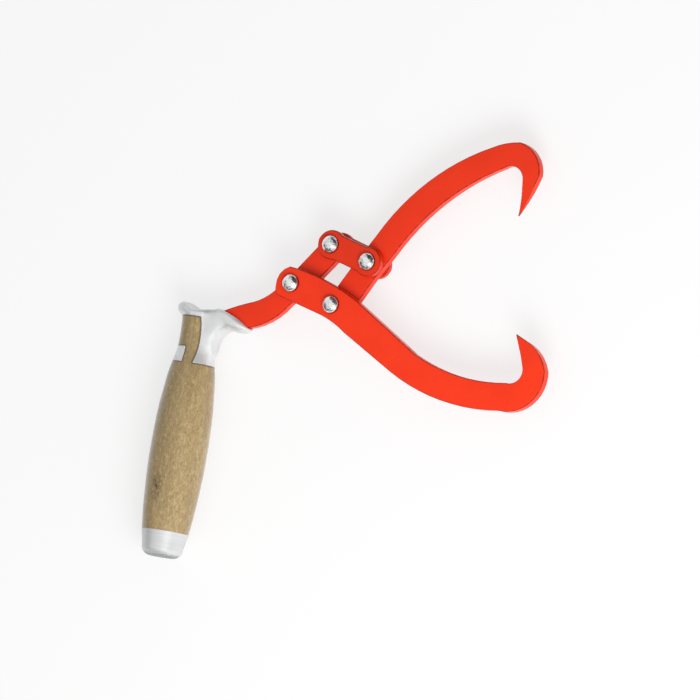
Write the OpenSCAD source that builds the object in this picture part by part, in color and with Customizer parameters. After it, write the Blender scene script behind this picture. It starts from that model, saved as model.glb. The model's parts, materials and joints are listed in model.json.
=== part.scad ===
// Hand-held log tongs: two forged hooks worked by a four-pivot linkage,
// pulled shut by a turned wooden handle held between cast aluminium ends.

/* [Linkage] */
// Distance between the two pivots of the handle arm, and of the upper jaw
arm_pitch = 39; // [38.8:0.1:39.2]
// Distance between the two pivots of each short link
link_pitch = 31; // [30.8:0.1:31.2]
// Distance between the two pivots of the lower jaw
jaw_pitch = 35; // [34.8:0.1:35.2]
// Play of the upper jaw's hole round the link rivet
link_hole_play = 1.3; // [1.2:0.05:1.6]

/* [Forged bars] */
// Thickness of the arm and of both jaws
bar_t = 8; // [7:0.5:9]
// Thickness of each short link
link_t = 6; // [5:0.5:7]
// Gap between bars that slide past each other
bar_gap = 0.3; // [0.3:0.05:0.5]
// Bevel along the edges of the forged bars
bar_bevel = 0.9; // [0.4:0.1:1.2]
// Thickness left at the point of each hook
point_t = 1.4; // [1:0.1:3]

/* [Rivets] */
// Diameter of the rivet shanks
rivet_d = 8; // [7:0.5:9]
// Diameter of the domed heads
head_d = 12.6; // [12:0.1:13.4]
// Height of the front heads
head_h = 4.4; // [3.5:0.1:5]
// Height of the formed heads at the back
tail_h = 3; // [2.5:0.1:4]
// Radial running clearance of a rivet in a bar that turns on it
rivet_play = 0.08; // [0.04:0.01:0.1]

/* [Handle] */
// Length of the wood from its top to the end cap
grip_l = 150; // [148:1:154]
// Largest radius of the wood
grip_r = 20; // [19:0.1:20.4]
// Length of the end cap
cap_l = 17.5; // [17:0.5:20]
// Wall thickness of the aluminium prongs that are let into the wood
prong_t = 2.6; // [2:0.1:3.2]
// Length of the prongs
prong_l = 32.5; // [31:0.5:34]
// Diameter of the tang that runs down the handle
tang_d = 8; // [7:0.5:9]

/* [Hidden] */
$fn = 64;

steel_red = "#e8341f";
cast_grey = "#c9ccce";
wood_tan = "#b79b6c";
zinc = "#b9bcc0";

// The main pivot, where the jaws cross, is drawn at the origin of the plane of
// the bars. These move the finished part to the middle of its bounding box.
centre_x = 7.22;
centre_y = -30.85;

mid_z = bar_t / 2;
front_z = mid_z + bar_gap;
jaw_top = front_z + bar_t;
link_top = front_z + link_t;
link_back = -mid_z - bar_gap - link_t;
rivet_r = rivet_d / 2;
seat_gap = 0.02;

// Pivot positions at rest, from the lengths above
jaw_rest = -28.6;
arm_rest = 40.7;
pivot_jaws = [0, 0];
pivot_arm_jaw = -jaw_pitch * [cos(jaw_rest), sin(jaw_rest)];
pivot_arm_link = pivot_arm_jaw + arm_pitch * [cos(arm_rest), sin(arm_rest)];
pivot_jaw_link = circles_meet(pivot_arm_link, link_pitch, pivot_jaws, arm_pitch);

// Handle axis: its top, and the angle that it leans from straight down
handle_top = [-105.1, -1.3];
handle_lean = 10.75;

function circles_meet(a, ra, b, rb) =
    let (ab = b - a, d = norm(ab), u = ab / d,
         along = (ra * ra - rb * rb + d * d) / (2 * d),
         up = sqrt(ra * ra - along * along))
    a + along * u + up * [-u.y, u.x];

function circle_centre(a, b, c) =
    let (d = 2 * (a.x * (b.y - c.y) + b.x * (c.y - a.y) + c.x * (a.y - b.y)),
         aa = a * a, bb = b * b, cc = c * c)
    [(aa * (b.y - c.y) + bb * (c.y - a.y) + cc * (a.y - b.y)) / d,
     (aa * (c.x - b.x) + bb * (a.x - c.x) + cc * (b.x - a.x)) / d];

function turn(a) = a < 0 ? a + 360 : a;

// Points on the arc from a through b to c, without c, so that arcs can be chained
function arc(a, b, c, steps) =
    let (o = circle_centre(a, b, c), r = norm(a - o),
         from = atan2(a.y - o.y, a.x - o.x),
         to = atan2(c.y - o.y, c.x - o.x),
         left = cross(b - a, c - b) > 0,
         sweep = left ? turn(to - from) : -turn(from - to))
    [for (i = [0 : steps - 1]) o + r * [cos(from + sweep * i / steps),
                                       sin(from + sweep * i / steps)]];

// Points along a straight line from a to b, without b
function line(a, b, steps) = [for (i = [0 : steps - 1]) a + (b - a) * i / steps];

// Points round a quarter of a bar's rounded end: the bar leaves it in the
// direction given, and side is -1 for its right-hand edge and 1 for its left
function round_end(c, r, direction, side, steps) =
    [for (i = [0 : steps - 1])
        let (t = direction + side * (176 - 86 * i / steps))
        c + r * [cos(t), sin(t)]];

function unit(v) = v / norm(v);

function back_to_front(v) = [for (i = [len(v) - 1 : -1 : 0]) v[i]];

// The outline moved inwards by d; its points run anticlockwise. Where the
// outline is narrow it moves by less, so that the two edges never meet.
function inset(pts, d) =
    let (n = len(pts))
    [for (i = [0 : n - 1])
        let (e0 = unit(pts[i] - pts[(i + n - 1) % n]),
             e1 = unit(pts[(i + 1) % n] - pts[i]),
             n0 = [-e0.y, e0.x], n1 = [-e1.y, e1.x],
             width = norm(pts[i] - pts[n - 1 - i]))
        pts[i] + min(d, width / 4) * (n0 + n1) / max(1 + n0 * n1, 0.6)];

function lift(pts, z) = [for (p = pts) [p.x, p.y, z]];

// A flat forged bar with bevelled edges, from z to z + t. It is given by its
// right-hand and left-hand edges, point by point from one end to the other.
module bar(right, left, z, t) {
    pts = concat(right, back_to_front(left));
    n = len(pts);
    m = len(right);
    small = inset(pts, bar_bevel);
    sides = [for (k = [0 : 2], i = [0 : n - 1], half = [0, 1])
        let (j = (i + 1) % n)
        half == 0 ? [k * n + i, k * n + n + i, k * n + n + j]
                  : [k * n + i, k * n + n + j, k * n + j]];
    faces = [for (i = [0 : m - 2], half = [0, 1], top = [0, 1])
        let (q = [i, i + 1, n - 2 - i, n - 1 - i],
             f = half == 0 ? [q[0], q[1], q[2]] : [q[0], q[2], q[3]])
        top == 0 ? f : [3 * n + f[2], 3 * n + f[1], 3 * n + f[0]]];
    polyhedron(concat(lift(small, z), lift(pts, z + bar_bevel),
                      lift(pts, z + t - bar_bevel), lift(small, z + t)),
               concat(sides, faces));
}

module bore(at, r) {
    translate([at.x, at.y, -40]) cylinder(r = r, h = 80);
}

// Takes the thickness down to a point, on both faces of a hook.
// The hook runs towards tip in the direction given.
module point_cuts(tip, direction, reach, z) {
    drop = (bar_t - point_t) / 2;
    for (side = [-1, 1])
        translate([tip.x, tip.y, z + bar_t / 2])
            rotate([0, 0, direction])
                rotate([90, 0, 0])
                    linear_extrude(height = 50, center = true)
                        polygon([[-reach, side * (bar_t / 2 + 0.01)],
                                 [4, side * (point_t / 2 - drop * 4 / reach)],
                                 [4, side * (bar_t / 2 + 3)],
                                 [-reach, side * (bar_t / 2 + 3)]]);
}

// Edges of the upper jaw, from its end below the main pivot to the point
upper_tip = [138.2, 54.4];
upper_right = concat(
    round_end([1.1, -1], 9.7, 50.4, -1, 6),
    line([8.7, -7.5], [28.1, 16.3], 2),
    line([28.1, 16.3], [42.9, 32.2], 1),
    arc([42.9, 32.2], [79.7, 65.4], [128.7, 88.3], 12),
    arc([128.7, 88.3], [138.6, 87.7], [142.6, 79.8], 12),
    arc([142.6, 79.8], [141.4, 68.1], upper_tip + [-0.2, 0.2], 5),
    [upper_tip + [-0.2, 0.2]]);
upper_left = concat(
    round_end([1.1, -1], 9.7, 50.4, 1, 6),
    line([-6.5, 5.5], [12.9, 28.1], 2),
    line([12.9, 28.1], [30.7, 47.6], 1),
    arc([30.7, 47.6], [72.5, 83.8], [119, 103.2], 12),
    arc([119, 103.2], [130, 105.5], [141, 105.5], 4),
    arc([141, 105.5], [154.4, 92.6], [155.6, 81.6], 8),
    arc([155.6, 81.6], [149.6, 70.8], upper_tip + [0.3, -0.2], 5),
    [upper_tip + [0.3, -0.2]]);

// Edges of the lower jaw, from the broad end at its rear pivot to the point
lower_tip = [140.6, -29];
lower_right = concat(
    line([-43.1, 13.7], [-42.6, 11.1], 1),
    line([-42.6, 11.1], [-41, 9.1], 2),
    line([-41, 9.1], [-38, 7.6], 1),
    line([-38, 7.6], [-8, -6.9], 5),
    arc([-8, -6.9], [1.2, -12.8], [9.3, -20], 4),
    line([9.3, -20], [44.5, -49.2], 3),
    arc([44.5, -49.2], [84, -72], [127, -81.3], 10),
    arc([127, -81.3], [156.2, -74.5], [163.8, -56.4], 12),
    arc([163.8, -56.4], [160.8, -46.9], [152.5, -36.7], 4),
    line([152.5, -36.7], lower_tip + [0.3, 0.2], 3),
    [lower_tip + [0.3, 0.2]]);
lower_left = concat(
    arc([-42.7, 15.7], [-39.2, 24.6], [-31.6, 28.6], 4),
    arc([-31.6, 28.6], [-5, 17.4], [20.5, 0.6], 9),
    line([20.5, 0.6], [64, -38.2], 3),
    arc([64, -38.2], [96, -54.9], [134, -62.6], 10),
    arc([134, -62.6], [143.6, -60.6], [146.6, -53.8], 12),
    arc([146.6, -53.8], [145.4, -46.8], [143.6, -40], 4),
    line([143.6, -40], lower_tip + [-0.2, -0.2], 3),
    [lower_tip + [-0.2, -0.2]]);

// Edges of the handle arm, from its end at the links to the tongue in the handle
arm_right = concat(
    round_end(pivot_arm_link, 8.5, arm_rest + 180, -1, 6),
    line([-7, 48.9], [-29.8, 28.5], 2),
    line([-29.8, 28.5], [-44, 16.7], 1),
    arc([-44, 16.7], [-55, 9.6], [-68, 6.4], 6),
    arc([-68, 6.4], [-80, 4], [-91, 0.9], 3),
    [[-91, 0.9], [-106.4, -1]]);
arm_left = concat(
    round_end(pivot_arm_link, 8.5, arm_rest + 180, 1, 6),
    line([4.6, 35.5], [-14, 19.2], 2),
    line([-14, 19.2], [-36.5, 2.6], 1),
    arc([-36.5, 2.6], [-52.5, -7.8], [-70, -11.3], 6),
    arc([-70, -11.3], [-81, -11.6], [-92, -11], 3),
    [[-92, -11], [-107.8, -9]]);

// Edges of a short link: round ends with a slightly narrower waist
link_end_r = 10.2;
link_waist_r = 8.9;
function link_edge(side) =
    let (a = pivot_arm_link, b = pivot_jaw_link, u = unit(b - a),
         v = side * [-u.y, u.x], steps = 12, spread = 62)
    concat(
        [for (i = [0 : steps])
            let (t = 176 - (176 - spread) * i / steps)
            a + link_end_r * (cos(t) * u + sin(t) * v)],
        [(a + b) / 2 + link_waist_r * v],
        [for (i = [0 : steps])
            let (t = 180 - spread - (176 - spread) * i / steps)
            b + link_end_r * (cos(t) * u + sin(t) * v)]);

// Puts the children in the handle's own frame, which points down the handle
module on_handle() {
    translate([handle_top.x, handle_top.y, 0])
        rotate([0, 0, -handle_lean])
            rotate([90, 0, 0])
                children();
}

// Radius of the handle at a distance s below its top
grip_stations = [[0, 13.3], [6, 12.9], [13, 12.7], [19, 12.8], [24, 13], [28, 13.8],
                 [32.5, 15], [37, 16], [44, 17.1], [52, 17.9], [61, 18.9], [72, 19.6],
                 [84, 19.95], [95, 20], [106, 19.9], [118, 19.3], [128, 18.7],
                 [137, 18], [145, 17.1], [150, 16.5]];
grip_scale = grip_r / 20;

function grip_profile(less) =
    [for (s = grip_stations) [s.y * grip_scale - less, s.x * grip_l / 150]];

// The turned body of the handle between two distances, made smaller by less
module turned(from, to, less = 0) {
    intersection() {
        rotate_extrude()
            polygon(concat([[0, -1], [grip_profile(less)[0].x, -1]],
                           grip_profile(less), [[0, grip_l]]));
        translate([0, 0, from]) cylinder(r = 40, h = to - from);
    }
}

// What is cut from the casting's sleeve so that wood shows on both faces:
// a strip between the prongs, and above it all but a narrow spine behind
strip_back = -2.2;
spine_s = 21.5;
spine_half_angle = 23;
module wood_strip() {
    rotate([90, 0, 0])
        linear_extrude(height = 60, center = true)
            polygon(concat([[strip_back, prong_l + 1], [strip_back, -1], [5.6, -1]],
                           arc([5.6, 0], [6.9, 17], [5.4, prong_l], 8),
                           [[5.4, prong_l], [5.4, prong_l + 1]]));
    for (side = [-1, 1])
        translate([0, 0, -1])
            linear_extrude(height = spine_s + 1)
                polygon([[0, 0], [0.1, side * 60],
                         60 * [-cos(spine_half_angle), side * sin(spine_half_angle)]]);
}

// The sleeve's prongs. A negative gap gives the seat that is cut for them.
module prongs(gap = 0) {
    difference() {
        turned(gap > 0 ? -1 : 0, prong_l + gap, -gap);
        turned(-1, prong_l + 1, prong_t + gap);
        wood_strip();
    }
}

// The room that the sleeve leaves for the wood: its inside, and the strips
// through which the wood comes out to the surface
module wood_room() {
    turned(-seat_gap, prong_l + 1, prong_t);
    intersection() {
        turned(-seat_gap, prong_l + 1, -8);
        wood_strip();
    }
}

tenon_r = 13.2;
tenon_l = 7;
washer_t = 1.6;
nut_t = 5;

module handle_arm() {
    color(steel_red) {
        difference() {
            bar(arm_right, arm_left, -mid_z, bar_t);
            bore(pivot_arm_jaw, rivet_r + rivet_play);
            bore(pivot_arm_link, rivet_r + rivet_play);
        }
    }
    color(steel_red)
        on_handle()
            translate([0, 0, 7]) cylinder(d = tang_d, h = grip_l + tenon_l + washer_t + nut_t - 7);
}

// A body blended through oval sections. Each station is the section's lowest
// and highest point in the plane of the tool, its half width across it, and how
// far the middle of the section stands forward of its ends.
section_steps = 24;
section_power = 0.72;
function signed_power(v, p) = (v < 0 ? -1 : 1) * pow(abs(v), p);
function section(station) =
    let (low = station[0], high = station[1], w = station[2],
         mid = (low + high) / 2, half = (high - low) / 2,
         ahead = station[3] * unit([half.y, -half.x]))
    [for (i = [0 : section_steps - 1])
        let (t = 360 * i / section_steps, a = signed_power(sin(t), section_power),
             b = signed_power(cos(t), section_power),
             p = mid + half * a + ahead * (1 - a * a))
        [p.x, p.y, w * b]];

module blended(stations) {
    n = section_steps;
    m = len(stations);
    points = [for (s = stations, p = section(s)) p];
    sides = [for (k = [0 : m - 2], i = [0 : n - 1], half = [0, 1])
        let (j = (i + 1) % n)
        half == 0 ? [k * n + i, k * n + j, k * n + n + j] : [k * n + i, k * n + n + j, k * n + n + i]];
    ends = [for (r = [-n / 4 : n / 4 - 1], half = [0, 1], last = [0, 1])
        let (a = (r + n) % n, b = (r + 1 + n) % n, c = (n / 2 - r - 1) % n, d = (n / 2 - r) % n,
             f = half == 0 ? [a, b, c] : [a, c, d], o = (m - 1) * n)
        if (f[0] != f[1] && f[1] != f[2] && f[2] != f[0])
            last == 1 ? [o + f[0], o + f[1], o + f[2]] : [f[2], f[1], f[0]]];
    polyhedron(points, concat(sides, ends));
}

// The neck, from inside the sleeve to the rounded lip that the arm comes out of
neck_stations = [
    [[-97.8, -33.2], [-99.6, 1.2], 8, 0],
    [[-94.8, -28], [-98.6, 2.4], 9.7, 0],
    [[-93.3, -21.6], [-97.6, 3], 10.6, 0],
    [[-91.3, -17.2], [-96.6, 3.4], 10.8, 0],
    [[-87.6, -13.9], [-95.4, 3.5], 10.2, 0],
    [[-83.6, -12.3], [-94.2, 3.5], 9.5, 0.2],
    [[-80, -12.3], [-93.2, 3.5], 9.3, 0.6],
    [[-76.4, -13.8], [-92, 3.8], 9.7, 1.1],
    [[-72.2, -14.4], [-90.8, 4], 9.8, 1.6],
    [[-68.6, -13.7], [-89.6, 3.7], 9.1, 1.9],
    [[-66.6, -12.5], [-89, 2.9], 7.5, 2]];

// The beak that keeps the hand from slipping off the top of the handle
beak_stations = [
    [[-121.7, 5.2], [-121.6, 8.2], 2.6, 0],
    [[-120.4, 2.8], [-120, 9.7], 5.8, 0],
    [[-118, 0.8], [-117.2, 10.5], 8.4, 0],
    [[-114.8, -0.4], [-113.8, 9.6], 10.6, 0],
    [[-111.2, -1.2], [-110.4, 7], 12.3, 0],
    [[-107.4, -1.8], [-107.2, 4.4], 13.2, 0],
    [[-103.4, -2.6], [-103.4, 3.8], 13.2, 0],
    [[-99, -3], [-99, 3.6], 12.4, 0],
    [[-94, -4], [-94, 3.4], 10.8, 0],
    [[-89, -5], [-89, 3], 8.6, 0],
    [[-84, -6], [-84, 1.6], 5, 0]];

module bolster() {
    color(cast_grey)
        difference() {
            union() {
                on_handle() turned(0, prong_l);
                blended(neck_stations);
                blended(beak_stations);
            }
            on_handle() wood_room();
            arm_slot();
        }
}

module arm_slot() {
    translate([0, 0, -mid_z - seat_gap])
        linear_extrude(height = bar_t + 2 * seat_gap)
            polygon(inset(concat(arm_right, back_to_front(arm_left)), -seat_gap));
}

module grip() {
    color(wood_tan)
        difference() {
            on_handle() {
                difference() {
                    turned(0, grip_l);
                    prongs(seat_gap);
                }
                translate([0, 0, grip_l]) cylinder(r = tenon_r, h = tenon_l);
            }
            on_handle() translate([0, 0, -1]) cylinder(d = tang_d + 0.6, h = grip_l + tenon_l + 2);
            arm_slot();
        }
}

// Profile of the end cap: a drawn cup with a rounded shoulder and a flat end
cap_wall = 1.8;
cap_flat_r = 8.6;
cap_profile = concat(
    [[0, cap_l]],
    arc([cap_flat_r, cap_l], [12.6, cap_l - 1.9], [14.3, cap_l - 6], 8),
    arc([14.3, cap_l - 6], [15.2, 6], [16.5, 0.02], 6),
    [[16.5, 0.02]]);

module end_cap() {
    color(cast_grey)
        on_handle()
            translate([0, 0, grip_l])
                difference() {
                    rotate_extrude() polygon(concat([[0, 0.02]], cap_profile));
                    translate([0, 0, -1]) cylinder(r = tenon_r + seat_gap, h = tenon_l + 1);
                    translate([0, 0, tenon_l - 1]) cylinder(r = 11, h = cap_l - tenon_l + 1 - cap_wall);
                }
}

module tang_washer() {
    color(zinc)
        on_handle()
            translate([0, 0, grip_l + tenon_l + seat_gap])
                difference() {
                    cylinder(r = 8.5, h = washer_t - seat_gap);
                    translate([0, 0, -1]) cylinder(r = tang_d / 2 + 0.2, h = 5);
                }
}

module tang_nut() {
    color(zinc)
        on_handle()
            translate([0, 0, grip_l + tenon_l + washer_t + seat_gap])
                difference() {
                    cylinder(d = 15, h = nut_t, $fn = 6);
                    translate([0, 0, -1]) cylinder(r = tang_d / 2 + seat_gap, h = nut_t + 2);
                }
}

module link(z) {
    difference() {
        bar(link_edge(-1), link_edge(1), z, link_t);
        bore(pivot_arm_link, rivet_r + seat_gap);
        bore(pivot_jaw_link, rivet_r + seat_gap);
    }
}

module link_front() {
    color(steel_red) link(front_z);
}

module link_rear() {
    color(steel_red) link(link_back);
}

module upper_jaw() {
    color(steel_red)
        difference() {
            bar(upper_right, upper_left, -mid_z, bar_t);
            bore(pivot_jaws, rivet_r + rivet_play);
            bore(pivot_jaw_link, rivet_r + link_hole_play);
            point_cuts(upper_tip, -112.3, 26, -mid_z);
        }
}

module lower_jaw() {
    color(steel_red)
        difference() {
            bar(lower_right, lower_left, front_z, bar_t);
            bore(pivot_jaws, rivet_r + seat_gap);
            bore(pivot_arm_jaw, rivet_r + seat_gap);
            point_cuts(lower_tip, 120.8, 26, front_z);
        }
}

// A domed rivet whose shank runs from one bar face to another
module rivet(at, back, front) {
    dome_r = (head_d * head_d / 4 + head_h * head_h) / (2 * head_h);
    tail_dome_r = (head_d * head_d / 4 + tail_h * tail_h) / (2 * tail_h);
    rise = seat_gap;
    color(zinc)
        translate([at.x, at.y, 0]) {
            translate([0, 0, back - rise]) cylinder(r = rivet_r, h = front - back + 2 * rise);
            translate([0, 0, front + rise]) dome(dome_r, head_h);
            translate([0, 0, back - rise]) mirror([0, 0, 1]) dome(tail_dome_r, tail_h);
        }
}

// A cap of a ball, h high, standing on z = 0
module dome(r, h) {
    rotate_extrude()
        intersection() {
            translate([0, h - r]) circle(r = r);
            square([r + 1, h + 1]);
        }
}

module rivet_arm_jaw() {
    rivet(pivot_arm_jaw, -mid_z, jaw_top);
}

module rivet_arm_link() {
    rivet(pivot_arm_link, link_back, link_top);
}

module rivet_jaw_link() {
    rivet(pivot_jaw_link, link_back, link_top);
}

module rivet_jaws() {
    rivet(pivot_jaws, -mid_z, jaw_top);
}

module placed() {
    translate([-centre_x, -centre_y, grip_r]) children();
}

placed() handle_arm();
placed() bolster();
placed() grip();
placed() end_cap();
placed() tang_washer();
placed() tang_nut();
placed() link_front();
placed() link_rear();
placed() upper_jaw();
placed() lower_jaw();
placed() rivet_arm_jaw();
placed() rivet_arm_link();
placed() rivet_jaw_link();
placed() rivet_jaws();
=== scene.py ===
"""Looks of a pair of hand-held log tongs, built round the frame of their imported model.

Everything is in metres, in the frame's own axes: the tongs lie on their back on the
floor, with their jaws along X and the face with the rivet heads turned up.
"""

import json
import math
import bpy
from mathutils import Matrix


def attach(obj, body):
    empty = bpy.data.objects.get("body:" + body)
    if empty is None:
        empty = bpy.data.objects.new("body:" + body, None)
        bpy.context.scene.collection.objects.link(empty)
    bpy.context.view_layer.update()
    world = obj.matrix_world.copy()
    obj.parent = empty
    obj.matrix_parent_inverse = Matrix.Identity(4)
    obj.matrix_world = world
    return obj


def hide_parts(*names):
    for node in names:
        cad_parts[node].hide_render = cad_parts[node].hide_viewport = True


bl_info = {
    "name": "Log Tongs",
    "version": (1, 0, 0),
    "blender": (4, 5, 0),
    "location": "View3D > Sidebar > Log Tongs",
    "description": "Finishes the bars, rivets, casting, grip and cap of a pair of log tongs",
    "category": "Object",
}

import bmesh
import bpy
import numpy as np
from bpy.props import FloatProperty, FloatVectorProperty, IntProperty, PointerProperty
from mathutils import Matrix, Vector, noise
from mathutils.bvhtree import BVHTree

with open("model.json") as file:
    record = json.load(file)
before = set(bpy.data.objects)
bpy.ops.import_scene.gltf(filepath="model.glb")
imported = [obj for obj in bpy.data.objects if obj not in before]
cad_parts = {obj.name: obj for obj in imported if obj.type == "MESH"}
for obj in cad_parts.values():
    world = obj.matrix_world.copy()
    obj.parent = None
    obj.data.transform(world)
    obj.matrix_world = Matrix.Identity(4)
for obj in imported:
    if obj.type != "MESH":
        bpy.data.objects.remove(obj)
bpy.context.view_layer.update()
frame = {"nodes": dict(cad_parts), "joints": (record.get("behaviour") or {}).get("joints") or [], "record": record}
RECORD = frame["record"]
BODY_OF = {node: body for body, nodes in RECORD["behaviour"]["bodies"].items() for node in nodes}
JOINTS = {joint["name"]: joint for joint in frame["joints"]}
MOUNTS = {mount["name"]: mount for mount in RECORD["mounts"]}
MM = 0.001

# Where the lamp is, in metres from the middle of the floor under the tongs
KEY_PLACE = (0.6, -0.75, 0.9)
# Each bar's node, and how far its paint is darkened as painted shade: a lower number is darker
BAR_SHADES = {"handle_arm": 0.93, "lower_jaw": 1.0, "upper_jaw": 0.93, "link_front": 0.83, "link_rear": 0.83}
JAWS = ("lower_jaw", "upper_jaw")
RIVETS = {"lower_jaw": ("rivet_arm_jaw", "rivet_jaws"), "links": ("rivet_arm_link", "rivet_jaw_link")}
# Radius of the rivets' shanks in their solids, and the number of flats round a finished shank
RIVET_SHANK = 4 * MM
SHANK_FACETS = 40
# The height of the noise at which a rivet's head is neither dented nor raised
DENT_LEVEL = 0.62
# Colours that no setting changes: worn points, and the painted shade in the corner between a rivet's head and its
# bar
BARE_STEEL = (0.13, 0.10, 0.09)
CORNER_SHADE = (0.09, 0.05, 0.045)
# Points of a solid that are nearer to each other than this are one point
MERGE = 0.002 * MM
# A ring of a turned solid counts as its outside when it has this many points at its largest radius
RING_POINTS = 20
RING_MARGIN = 0.02 * MM
# How far the kinks of a turned profile are eased
EASING = 2.5 * MM
# Further from the handle's axis than any part of the handle is
OUTSIDE = 30 * MM
# How far one body runs on into the next before the two are cut or merged
OVERLAP = 4 * MM
# Where the casting's neck starts, across the handle, and how far from the arm it may be stretched
NECK_START = (6.5 * MM, 9.5 * MM)
ARM_MARGIN = (5 * MM, 9 * MM)
# Width and height of the picture, in pixels
PICTURE = 700


class BarSizes(bpy.types.PropertyGroup):
    """How the forged bars are rounded and how uneven they are."""

    grain: FloatProperty(
        name="Mesh size", description="Size of the faces of the bars' meshes",
        default=0.45 * MM, min=0.3 * MM, max=2 * MM, precision=5, unit="LENGTH")
    rounding: IntProperty(
        name="Rounding", description="How often the bars' edges are rubbed round",
        default=12, min=0, max=30)
    fold_spread: IntProperty(
        name="Fold spread", description="How often the folds at the points' flats are spread",
        default=150, min=0, max=600)
    unevenness: FloatProperty(
        name="Unevenness", description="How far the hammered faces stand off flat",
        default=0.05 * MM, min=0, max=0.2 * MM, precision=5, unit="LENGTH")
    bare_point: FloatProperty(
        name="Bare point", description="How far from a jaw's point the paint has worn off",
        default=3.5 * MM, min=0, max=20 * MM, precision=4, unit="LENGTH")
    ripple: FloatProperty(
        name="Ripple", description="Distance from one hammer mark to the next",
        default=11 * MM, min=2 * MM, max=40 * MM, precision=4, unit="LENGTH")


class HandleSizes(bpy.types.PropertyGroup):
    """The casting's prongs, their seats in the turned handle, and how the casting is blended."""

    prong_length: FloatProperty(
        name="Prong length", description="How far the prongs reach down the handle",
        default=32.5 * MM, min=10 * MM, max=60 * MM, precision=4, unit="LENGTH")
    prong_wall: FloatProperty(
        name="Prong wall", description="Thickness of the prongs",
        default=2.6 * MM, min=1 * MM, max=5 * MM, precision=4, unit="LENGTH")
    strip_palm: FloatProperty(
        name="Strip, palm side", description="Edge of the bare strip on the palm side of the axis",
        default=2.2 * MM, min=0, max=8 * MM, precision=4, unit="LENGTH")
    strip_finger: FloatProperty(
        name="Strip, finger side", description="Edge of the bare strip on the finger side at its ends",
        default=5.5 * MM, min=0, max=10 * MM, precision=4, unit="LENGTH")
    strip_bulge: FloatProperty(
        name="Strip bulge", description="How far the finger side of the strip bows out",
        default=1.4 * MM, min=0, max=5 * MM, precision=4, unit="LENGTH")
    spine_top: FloatProperty(
        name="Spine top", description="Where the palm prong starts to be broad",
        default=21.5 * MM, min=5 * MM, max=30 * MM, precision=4, unit="LENGTH")
    spine_angle: FloatProperty(
        name="Spine angle", description="Half the angle of the narrow spine above the palm prong",
        default=math.radians(23), min=0, max=math.radians(60), unit="ROTATION")
    wood_shy: FloatProperty(
        name="Wood below metal", description="How far the wood stays below the metal's surface",
        default=0.1 * MM, min=0, max=0.5 * MM, precision=5, unit="LENGTH")
    cast_grain: FloatProperty(
        name="Casting mesh size", description="Size of the faces of the casting's mesh",
        default=0.4 * MM, min=0.25 * MM, max=1 * MM, precision=5, unit="LENGTH")
    cast_fillet: FloatProperty(
        name="Casting fillet", description="Radius of the fillets in the casting's hollow corners",
        default=2.0 * MM, min=0.5 * MM, max=8 * MM, precision=4, unit="LENGTH")
    neck_blend: IntProperty(
        name="Neck blend", description="How often the faces of the casting's neck are stretched",
        default=200, min=0, max=600)
    cast_blend: IntProperty(
        name="Casting blend", description="How often the casting's hollows are rubbed smooth",
        default=70, min=0, max=200)


class RivetSizes(bpy.types.PropertyGroup):
    """The domed rivets, all of one size."""

    dents: FloatProperty(
        name="Dents", description="Depth of the hammer's marks on the heads",
        default=0.16 * MM, min=0, max=0.5 * MM, precision=5, unit="LENGTH")
    dents_per_metre: FloatProperty(
        name="Dents per metre", description="How close together the hammer's marks are",
        default=520, min=50, max=2000)
    shank_play: FloatProperty(
        name="Shank play", description="How much thinner the shank is than its solid",
        default=0.02 * MM, min=0, max=0.2 * MM, precision=5, unit="LENGTH")


class FinishColours(bpy.types.PropertyGroup):
    """Colours of the finishes."""

    paint: FloatVectorProperty(
        name="Paint", description="Colour of the gloss paint", subtype="COLOR",
        default=(0.93, 0.041, 0.0075), min=0, max=1)
    casting: FloatVectorProperty(
        name="Casting", description="Colour of the satin cast metal", subtype="COLOR",
        default=(0.81, 0.815, 0.82), min=0, max=1)
    zinc: FloatVectorProperty(
        name="Zinc", description="Colour of the bright plating", subtype="COLOR",
        default=(0.92, 0.93, 0.94), min=0, max=1)
    wood: FloatVectorProperty(
        name="Wood", description="Main colour of the wood", subtype="COLOR",
        default=(0.42, 0.305, 0.145), min=0, max=1)
    wood_dark: FloatVectorProperty(
        name="Wood grain", description="Colour of the wood's darker grain", subtype="COLOR",
        default=(0.27, 0.19, 0.083), min=0, max=1)


class StageSizes(bpy.types.PropertyGroup):
    """The floor, the lights and the camera."""

    yaw: FloatProperty(
        name="Camera yaw", description="How far the camera stands round to the points' side",
        default=math.radians(26), unit="ROTATION")
    pitch: FloatProperty(
        name="Camera pitch", description="How far the camera stands round to the handle's end",
        default=math.radians(7.9), unit="ROTATION")
    pixels_per_metre: FloatProperty(
        name="Scale", description="Pixels for each metre across the line of sight",
        default=1450, min=100, max=5000)
    aim_across: FloatProperty(
        name="Aim across", description="Pixel column of the main rivet", default=329.5)
    aim_down: FloatProperty(
        name="Aim down", description="Pixel row of the main rivet", default=304.1)
    aim_height: FloatProperty(
        name="Aim height", description="Height above the main pivot that the aim is for",
        default=14.3 * MM, precision=4, unit="LENGTH")
    camera_distance: FloatProperty(
        name="Camera distance", description="How far the camera stands from what it looks at",
        default=1.5, min=0.5, max=10, unit="LENGTH")
    fill: FloatProperty(
        name="Fill", description="Strength of the light from all round", default=0.62, min=0, max=2)
    gloss: FloatProperty(
        name="Gloss", description="Strength of what the gloss shows", default=0.9, min=0, max=2)
    key: FloatProperty(
        name="Key", description="Power of the lamp on the points' side, in watts",
        default=11, min=0, max=100)


class TongsSettings(bpy.types.PropertyGroup):
    """Everything that a user of the tongs would change."""

    bars: PointerProperty(type=BarSizes)
    handle: PointerProperty(type=HandleSizes)
    rivets: PointerProperty(type=RivetSizes)
    colours: PointerProperty(type=FinishColours)
    stage: PointerProperty(type=StageSizes)


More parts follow.
